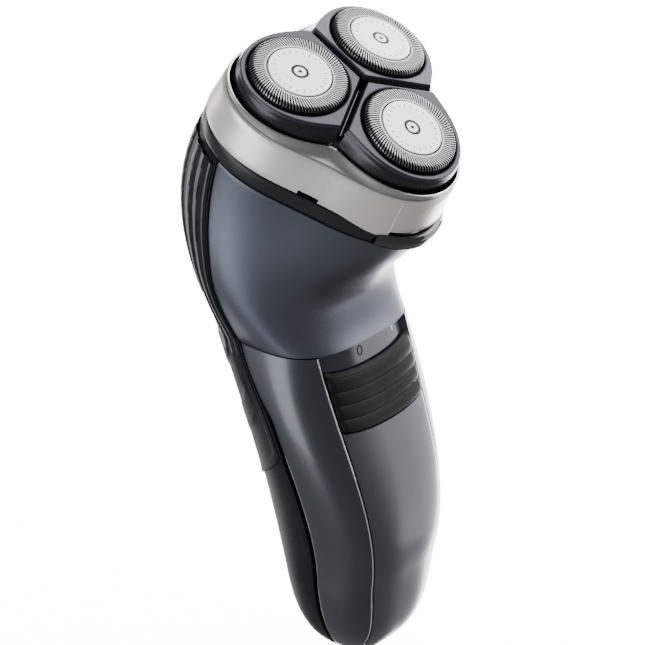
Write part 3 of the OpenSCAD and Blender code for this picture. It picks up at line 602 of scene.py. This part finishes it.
def neck_shell():
    """Metallic front of the neck, from the seam to the collar."""
    s0, s1 = 2.002, 2.998
    run = [np.linalg.norm(skin(s + step, 90) - skin(s, 90)) / abs(step)
           for s, step in ((s0, 0.01), (s1, -0.01))]
    rows, row_depth = spread(s0, s1, 60, 1 / run[0], 1 / run[1])
    lines = []
    for s, deep in zip(rows, row_depth):
        low, high = 180.4 - float(rear_start(s)), 359.6 + float(rear_start(s))
        phi, d = spread(low, high, 150, per_mm(s, low, 1), per_mm(s, high, -1))
        lines.append(skin(np.full_like(phi, s), phi, np.minimum(d, deep) - INSET))
    piece = add_grid("neck_shell_skin", np.array(lines), [MAT["neck"]])
    return finish_piece(piece, "body", "neck_shell", "neck_shell")


def stadium_point(phi):
    """Point of the inlet's outline in that direction, with a small gap."""
    half_w, half_h = INLET_W / 2 + 0.12, INLET_H / 2 + 0.12
    flat = half_w - half_h
    c, s = np.cos(np.radians(phi)), np.sin(np.radians(phi))
    # on the straight sides
    t = np.where(np.abs(s) > 1e-9, half_h / np.maximum(np.abs(s), 1e-9), 1e9)
    x = t * c
    # on the round ends
    b = flat * np.abs(c)
    reach = b + np.sqrt(np.maximum(0, b * b - flat * flat + half_h * half_h))
    over = np.abs(x) > flat
    return np.where(over, reach * c, x), np.where(over, reach * s, t * s)


def inlet_rim(phi, z):
    x, y = stadium_point(phi)
    return np.column_stack([x, y, np.full_like(x, z)])


def rear_shell():
    """Charcoal back of the body, from the inlet's rim to the collar."""
    s0, s1 = 0.06, 2.998
    rows = np.concatenate([[s0, s0 + 0.004], np.linspace(s0 + 0.012, 1, 40), np.linspace(1.02, 2.98, 90),
                           [2.99, s1, s1]])
    lines = []
    for i, s in enumerate(rows):
        low, high = 0.3 + float(rear_start(s)), 179.7 - float(rear_start(s))
        phi, d = spread(low, high, 70, per_mm(s, low, 1), per_mm(s, low, 1))
        if i == 0:
            lines += [inlet_rim(phi, 1.5), inlet_rim(phi, 0.12)]
        if i == len(rows) - 1:
            d = np.full_like(d, EDGE[0][1])
        lines.append(skin(np.full_like(phi, s), phi, d - INSET))
    piece = add_grid("rear_shell_skin", np.array(lines), [MAT["rear"]])
    return finish_piece(piece, "body", "rear_shell", "rear_shell")


def grip_margin(s, c):
    """Angle from the rear shell's edge to a nested U of the grip; c is its distance at the sides."""
    start = np.interp(c, (2.5, 8.0, 14.5, 23.5), (1.574, 1.80, 2.03, 2.30))
    return c + 60 * (np.maximum(0, start - s) / 0.19) ** 2


def grip_level(s, phi):
    """Which nested U passes through the points of a row: its distance c at the sides, by halving."""
    edge = rear_start(s)
    side = np.minimum(phi - edge, 180 - edge - phi)
    low, high = np.full_like(side, -5.0), np.full_like(side, 95.0)
    for _ in range(26):
        c = (low + high) / 2
        beyond = grip_margin(s, c) > side
        high = np.where(beyond, c, high)
        low = np.where(beyond, low, c)
    return low


def grip_relief(c):
    """Depth below the ribs' crests at the nested U with distance c."""
    d = np.zeros_like(c)
    for start, stop in BANDS:
        rise = np.clip((c - start) / RIB_EDGE, 0, 1) * np.clip((stop - c) / RIB_EDGE, 0, 1)
        d = np.maximum(d, RIB * smooth(rise))
    return d - RIB


def rear_grip():
    """Rubber grip with nested U-shaped ribs that run from under the collar round the back."""
    t = np.linspace(0, 1, 321)
    # columns stand closer near the grip's sides, where the ribs are narrow
    closer = mix(t, (1 - np.cos(math.pi * t)) / 2, 0.75)
    rows = np.linspace(GRIP_LOW, GRIP_HIGH, 300)
    lines, crests = [], []
    for s in rows:
        edge = float(rear_start(s)) + float(grip_margin(s, 1.2))
        phi = mix(edge, 180 - edge, closer)
        row = np.full_like(phi, s)
        shape = grip_relief(grip_level(row, phi))
        # the ribs get lower towards their ends
        fade = min(1.0, max(0.3, (s - 1.3) / 0.8))
        d = GRIP_OUT - RIB + (shape + RIB) * fade
        d[0] = d[-1] = 0.0
        if s == rows[0]:
            d[:] = 0.0
        lines.append(skin(row, phi, d))
        # the paler crests are speckled rubber lightened partly as a painted highlight; they taper out above
        # the side seam
        crests.append(shape > -0.14 * min(1.0, max(0.0, (s - 1.95) / 0.45)))
    crests = np.array(crests)
    index = (crests[:-1, :-1] & crests[1:, 1:]).astype(int)
    piece = add_grid("rear_grip_cover", np.array(lines), [MAT["grip"], MAT["rib"]], index)
    return finish_piece(piece, "body", "rear_grip", "rear_grip")


def insert_outline():
    """Left half of the insert's edge from the seam to the middle of its lower end, as (s, phi)."""
    bend = np.linspace(0, math.pi / 2, 16)[1:]
    straight = np.linspace(SEAM_Z - 0.2, INSERT_LOW + INSERT_CORNER, 130)
    corner_x = float(insert_half(INSERT_LOW))
    z = np.concatenate([straight, INSERT_LOW + INSERT_CORNER * (1 - np.sin(bend)), np.full(16, INSERT_LOW)])
    x = -np.concatenate([insert_half(straight), corner_x + INSERT_CORNER * np.cos(bend),
                         np.linspace(corner_x, 0, 17)[1:]])
    s, phi = on_front(x, z)
    s[0] = 1.998
    return s, phi


def front_shell():
    """U-shaped front of the handle round the insert, with a raised bead on the insert's edge, painted pale as
    a highlight.
    """
    s_left, phi_left = insert_outline()
    inner_s = np.concatenate([s_left, s_left[-2::-1]])
    inner_phi = np.concatenate([phi_left, 2 * FRONT - phi_left[-2::-1]])
    # outer edge: down the side seam as far as row `turn`, then round the lower end to its middle
    turn, bottom_s, seam_phi = 118, 0.06, 180.3
    t = np.clip((np.arange(len(s_left)) - turn) / (len(s_left) - 1 - turn), 0, 1)
    outer_s = np.where(t > 0, mix(s_left[turn], bottom_s, np.minimum(1, t / 0.5)), s_left)
    outer_phi = np.where(np.arange(len(s_left)) < turn, seam_phi - rear_start(s_left),
                         seam_phi + (FRONT - seam_phi) * np.maximum(0, (t - 0.5) / 0.5))
    outer_s = np.concatenate([outer_s, outer_s[-2::-1]])
    outer_phi = np.concatenate([outer_phi, 2 * FRONT - outer_phi[-2::-1]])
    length = np.linalg.norm(skin(outer_s, outer_phi) - skin(inner_s, inner_phi), axis=1)

    def across(t, d):
        return skin(mix(inner_s, outer_s, t), mix(inner_phi, outer_phi, t), d - INSET)

    bead = ((0.0, -1.5), (0.0, -0.30), (0.05, -0.10), (0.14, 0.0), (0.36, 0.02), (0.44, -0.02), (0.60, -0.02))
    lines = [across(distance / length, d) for distance, d in bead]
    start, stop = bead[-1][0] / length, 1 - EDGE[-1][0] / length
    lines += [across(mix(start, stop, t), 0.0) for t in np.linspace(0, 1, 42)[1:-1]]
    lines += [across(1 - distance / length, d) for distance, d in reversed(EDGE)]
    # at the bottom the last two rows go round the inlet's rim instead of folding in
    bottom = (outer_s < bottom_s + 0.001)[:, None]
    lines[-2] = np.where(bottom, skin(np.full_like(outer_phi, bottom_s), outer_phi, -INSET), lines[-2])
    lines[-1] = np.where(bottom, inlet_rim(outer_phi, 0.12), lines[-1])
    index = np.zeros(len(lines) - 1, int)
    # the bead's crest gets the pale metal: painted highlight
    index[2:5] = 1
    piece = add_grid("front_shell_skin", np.array(lines), [MAT["handle"], MAT["bead"]], index, flip=True)
    return finish_piece(piece, "body", "handle_shell", "front_shell")


def insert_panel():
    """Lower part of the insert, up to the arc below the switch pad."""
    u = np.linspace(-1, 1, 81)
    u = np.sign(u) * np.abs(u) ** 0.92
    low, high, bend_z = INSERT_LOW + 0.2, 60.2, 45
    corner = np.linspace(0, math.pi / 2, 16)
    levels = np.concatenate([low + 2.9 * (1 - np.cos(corner)), np.linspace(6.5, high, 90)])
    lines = []
    for i, z in enumerate(levels):
        x = u * (insert_half(z) - 0.22)
        # rows bend up towards the arc as they get near it
        share = np.clip((z - bend_z) / (high - bend_z), 0, 1) ** 2
        height = z + share * (arc_z(SWITCH_LOW - 0.25, x) - high)
        folded = x.copy()
        folded[1], folded[-2] = x[0] + 0.02, x[-1] - 0.02
        folded[2], folded[-3] = x[0] + 0.2, x[-1] - 0.2
        d = np.full_like(x, -INSET)
        d[0] = d[-1] = -0.9
        d[1] = d[-2] = -0.10
        if i == 0:
            d[:] = -0.9
        if i == 1:
            d = np.minimum(d, -0.12)
        lines.append(front_skin(folded, height, d))
    lines += [front_skin(x, height + 0.02, d) for d in (-0.12, -1.5)]
    piece = add_grid("front_panel_skin", np.array(lines), [MAT["panel"]])
    return finish_piece(piece, "body", "front_insert", "front_panel")


def switch_bed():
    """Recessed glossy band behind the switch, with its off and on marks."""
    low, high, face = SWITCH_LOW - 0.1, SEAM_Z - 0.2, BED_DEPTH - 0.02
    u = np.linspace(-1, 1, 61)
    rows = []
    for z in np.linspace(low, high, 40):
        x = u * (insert_half(z) - 0.12)
        share = (high - z) / (high - low)
        height = z - share * SAG * (1 - (x / SAG_HALF) ** 2)
        rows.append(front_skin(x, np.minimum(height, SEAM_Z - 0.1), face))
    bed = add_grid("bed_face", np.array(rows), [MAT["band"]])
    ring = np.linspace(0, 2 * math.pi, 41)
    off = [front_skin(-3.0 + (0.95 - w) * np.cos(ring), 78.2 + (1.25 - w) * np.sin(ring), face + 0.05)
           for w in (0.35, 0.0)]
    on = [front_skin(np.linspace(9.75, 10.05, 4), np.full(4, z), face + 0.05)
          for z in np.linspace(78.6, 80.2, 8)]
    parts = [bed, add_grid("off_mark", np.array(off), [MAT["mark"]]),
             add_grid("on_mark", np.array(on), [MAT["lip"]])]
    return finish_piece(joined("switch_bed_face", parts), "body", "switch_band", "switch_bed")


def pad_height(v):
    """How far the switch pad stands above its edge at a share v of its height."""
    if v > PAD_TOP:
        return 0.18 - 1.2 * (v - PAD_TOP) / (1 - PAD_TOP)
    phase = (v * PAD_RIDGES / PAD_TOP) % 1.0
    groove = 0.92
    return 0.18 + 0.36 * math.sin(math.pi * phase / groove) ** 0.7 if phase < groove else 0.12


def switch_pad():
    """Rubber pad with arc-shaped ridges and a sloping upper edge."""
    u = np.linspace(-1, 1, 91)
    shares = np.linspace(0, 1, 121)
    fade = np.clip((1 - np.abs(u)) / 0.10, 0, 1) ** 0.5
    lines = []
    for k, v in enumerate(shares):
        z_corner = SWITCH_LOW + 0.12 + (SWITCH_HIGH - SWITCH_LOW - 0.24) * v
        x = u * (insert_half(z_corner) - 0.42)
        x[1], x[-2] = x[0], x[-1]
        d = -0.1 + (pad_height(v) + 0.06) * fade
        d[0] = d[-1] = -0.75
        d[1] = d[-2] = -0.25
        if k in (0, len(shares) - 1):
            d[:] = -0.75
        if k in (1, len(shares) - 2):
            d = np.minimum(d, -0.05)
        lines.append(front_skin(x, arc_z(z_corner, x), d))
    index = [1 if v > PAD_TOP else 0 for v in shares[:-1]]
    piece = add_grid("switch_pad_cover", np.array(lines), [MAT["pad"], MAT["black"]], index)
    return finish_piece(piece, "power_switch", "switch_rubber", "switch_pad")


def collar():
    """Rounded band under the holder, open at the front for the release button."""
    phi = np.linspace(293.9 - 360, 246.1, 300)
    profile = ((24.9, -17.55), (26.3, -17.52), (26.72, -17.62), (26.86, -17.9), (26.88, -18.8),
               (26.88, -20.2), (26.8, -20.9), (26.6, -21.35), (26.3, -21.6), (25.6, -21.68),
               (24.9, -21.68), (24.9, -17.55))
    rows = [polar(phi, triangle_r(phi, r, 0.118), z) for r, z in profile]
    band = add_grid("collar_ring", from_head(np.array(rows)), [MAT["collar"]], angle=30)
    # wall behind the button
    a = np.linspace(213.5, 326.5, 60)
    shift = np.array([0, -13.6, 0])
    rows = [polar(a, r, z) + shift for r, z in ((13.8, -21.6), (13.8, -17.6), (14.9, -17.55), (14.98, -17.7),
                                                (14.98, -21.6))]
    wall = add_grid("collar_wall", from_head(np.array(rows)), [MAT["collar"]], angle=30, flip=True)
    return finish_piece(joined("collar_band", [band, wall]), "body", "collar", "collar")


def release_button():
    """Glossy crescent button under the holder's front."""
    x = np.linspace(-11.25, 11.25, 91)
    back_r, back_y, front_r, front_y = 15.02, -15, 13.92, -18.14

    def arc(r, centre, z):
        return np.column_stack([x, centre - np.sqrt(r * r - x * x), np.full_like(x, z)])

    def front_arc(grow, z):
        row = arc(front_r + grow, front_y, z)
        row[:, 1] = np.minimum(row[:, 1], arc(back_r, back_y, z)[:, 1] - 0.02)
        return row

    profile = ((-1.0, -21.58), (-0.35, -21.5), (-0.12, -21.2), (-0.04, -20.7), (-0.02, -20.0), (-0.05, -19.2),
               (-0.16, -18.7), (-0.4, -18.32), (-0.8, -18.1), (-0.84, -17.98), (-1.1, -17.95))
    back = [arc(back_r, back_y, z) for z in (-21.55, -17.95)]
    rows = [back[0]] + [front_arc(*v) for v in profile] + [back[1], back[0]]
    piece = add_grid("release_button_cover", from_head(np.array(rows)), [MAT["button"]], angle=45)
    return finish_piece(piece, "release_button", "button_gloss", "release_button")


# ---------- finishes of the CAD pieces that stay in view ----------

FINISH = {
    "spindle_deck": "black", "deck_screws": "spring", "gear_plate": "cream", "motor_mount": "motor",
    "motor_can": "motor", "battery_cell_left": "cell", "battery_cell_right": "cell",
    "battery_contacts": "spring", "circuit_board": "board", "circuit_parts": "black",
    "charging_inlet": "inlet", "contact_pins": "brass",
    "hinge_bracket": "collar", "hinge_pin": "spring", "button_spring": "spring", "hinge_leaf": "holder",
    "frame_carrier": "skirt", "retaining_plate": "skirt", "locking_wheel": "collar", "motor_pinion": "cream",
    "switch_slider": "cream",
}
FINISH_PER_CUTTER = {
    "rotary_cutter_": "blade", "drive_gear_": "cream", "drive_spindle_": "cream", "spindle_spring_": "spring",
}


def dress_cad_nodes():
    finishes = dict(FINISH)
    finishes.update({name + key: finish for key in DIRECTIONS for name, finish in FINISH_PER_CUTTER.items()})
    for name, finish in finishes.items():
        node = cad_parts[name]
        node.data.materials.clear()
        node.data.materials.append(MAT[finish])
        for polygon in node.data.polygons:
            polygon.material_index = 0


def build():
    head_holder()
    for key, direction in DIRECTIONS.items():
        cutter_frame(key, direction)
        cutter_cap(key, direction)
        cap_disc(key, direction)
    for name, direction in (("gap_rib_rear", 90), ("gap_rib_left", 210), ("gap_rib_right", 330)):
        gap_rib(name, direction)
    neck_shell()
    rear_shell()
    rear_grip()
    front_shell()
    insert_panel()
    switch_bed()
    switch_pad()
    collar()
    release_button()
    dress_cad_nodes()


# ---------- stage, in metres ----------

WHITE, COOL = (1, 1, 1), (0.92, 0.96, 1.0)
# name, azimuth from +X and elevation as seen from the part, width, height, brightness, colour
SOFTBOXES = (
    ("backdrop_right", 28, -12, 1.0, 1.2, 15.0, WHITE),
    ("key_top", -14, 48, 0.7, 0.7, 7.0, WHITE),
    ("front_right", -34, -6, 0.5, 1.0, 2.8, WHITE),
    ("side_left", 168, 2, 0.5, 1.0, 5.5, COOL),
    ("strip_left_back", 88, -12, 0.2, 1.0, 5.0, WHITE),
)
LIT_POINT, LIGHT_DISTANCE = Vector((0, 0, 0.09)), 0.8
WORLD_LEVEL, FLOOR_GLOW, FLOOR_HALF, FLOOR_Z = 0.34, 14.0, 6, -0.0005
CAMERA_PLACE = Vector((-0.3753, -0.3457, 0.3052))
CAMERA_FORWARD, CAMERA_RIGHT = Vector((0.671, 0.623, -0.401)), Vector((0.656, -0.751, -0.069))
LENS, SENSOR = 136.0, 36.0


def softbox(name, azimuth, elevation, width, height, level, colour):
    """Area light of a given brightness, seen from the part at an azimuth and an elevation."""
    a, e = math.radians(azimuth), math.radians(elevation)
    away = Vector((math.cos(e) * math.cos(a), math.cos(e) * math.sin(a), math.sin(e)))
    lamp = bpy.data.lights.new(name, "AREA")
    lamp.shape = "RECTANGLE"
    lamp.size, lamp.size_y = width, height
    lamp.energy = math.pi * width * height * level
    lamp.color = colour
    o = bpy.data.objects.new(name, lamp)
    o.location = LIT_POINT + away * LIGHT_DISTANCE
    o.rotation_euler = away.to_track_quat("Z", "Y").to_euler()
    o.visible_camera = False
    bpy.context.scene.collection.objects.link(o)


def build_floor():
    """Pale floor that glows for the camera alone, so it throws no light up at the part."""
    finish = bpy.data.materials.new("floor_pale")
    finish.use_nodes = True
    shader = finish.node_tree.nodes["Principled BSDF"]
    shader.inputs["Base Color"].default_value = (0.93, 0.93, 0.93, 1)
    shader.inputs["Roughness"].default_value = 0.8
    shader.inputs["Emission Color"].default_value = (1, 1, 1, 1)
    shader.inputs["Emission Strength"].default_value = FLOOR_GLOW
    mesh = bpy.data.meshes.new("floor")
    corners = [(x * FLOOR_HALF, y * FLOOR_HALF, FLOOR_Z) for x, y in ((-1, -1), (1, -1), (1, 1), (-1, 1))]
    mesh.from_pydata(corners, [], [(0, 1, 2, 3)])
    mesh.materials.append(finish)
    floor = bpy.data.objects.new("floor", mesh)
    floor.visible_diffuse = floor.visible_glossy = floor.visible_shadow = False
    bpy.context.scene.collection.objects.link(floor)


def build_lights():
    world = bpy.data.worlds.new("studio")
    bpy.context.scene.world = world
    world.use_nodes = True
    background = world.node_tree.nodes["Background"]
    background.inputs["Color"].default_value = (1.0, 1.0, 1.0, 1)
    background.inputs["Strength"].default_value = WORLD_LEVEL
    for box in SOFTBOXES:
        softbox(*box)


def build_camera():
    camera = bpy.data.cameras.new("camera")
    camera.lens = LENS
    camera.sensor_width = SENSOR
    o = bpy.data.objects.new("camera", camera)
    forward = CAMERA_FORWARD.normalized()
    right = (CAMERA_RIGHT - forward * CAMERA_RIGHT.dot(forward)).normalized()
    place = Matrix((right, right.cross(forward), -forward)).transposed().to_4x4()
    place.translation = CAMERA_PLACE
    o.matrix_world = place
    bpy.context.scene.collection.objects.link(o)
    bpy.context.scene.camera = o


build()
build_floor()
build_lights()
build_camera()
write_size()
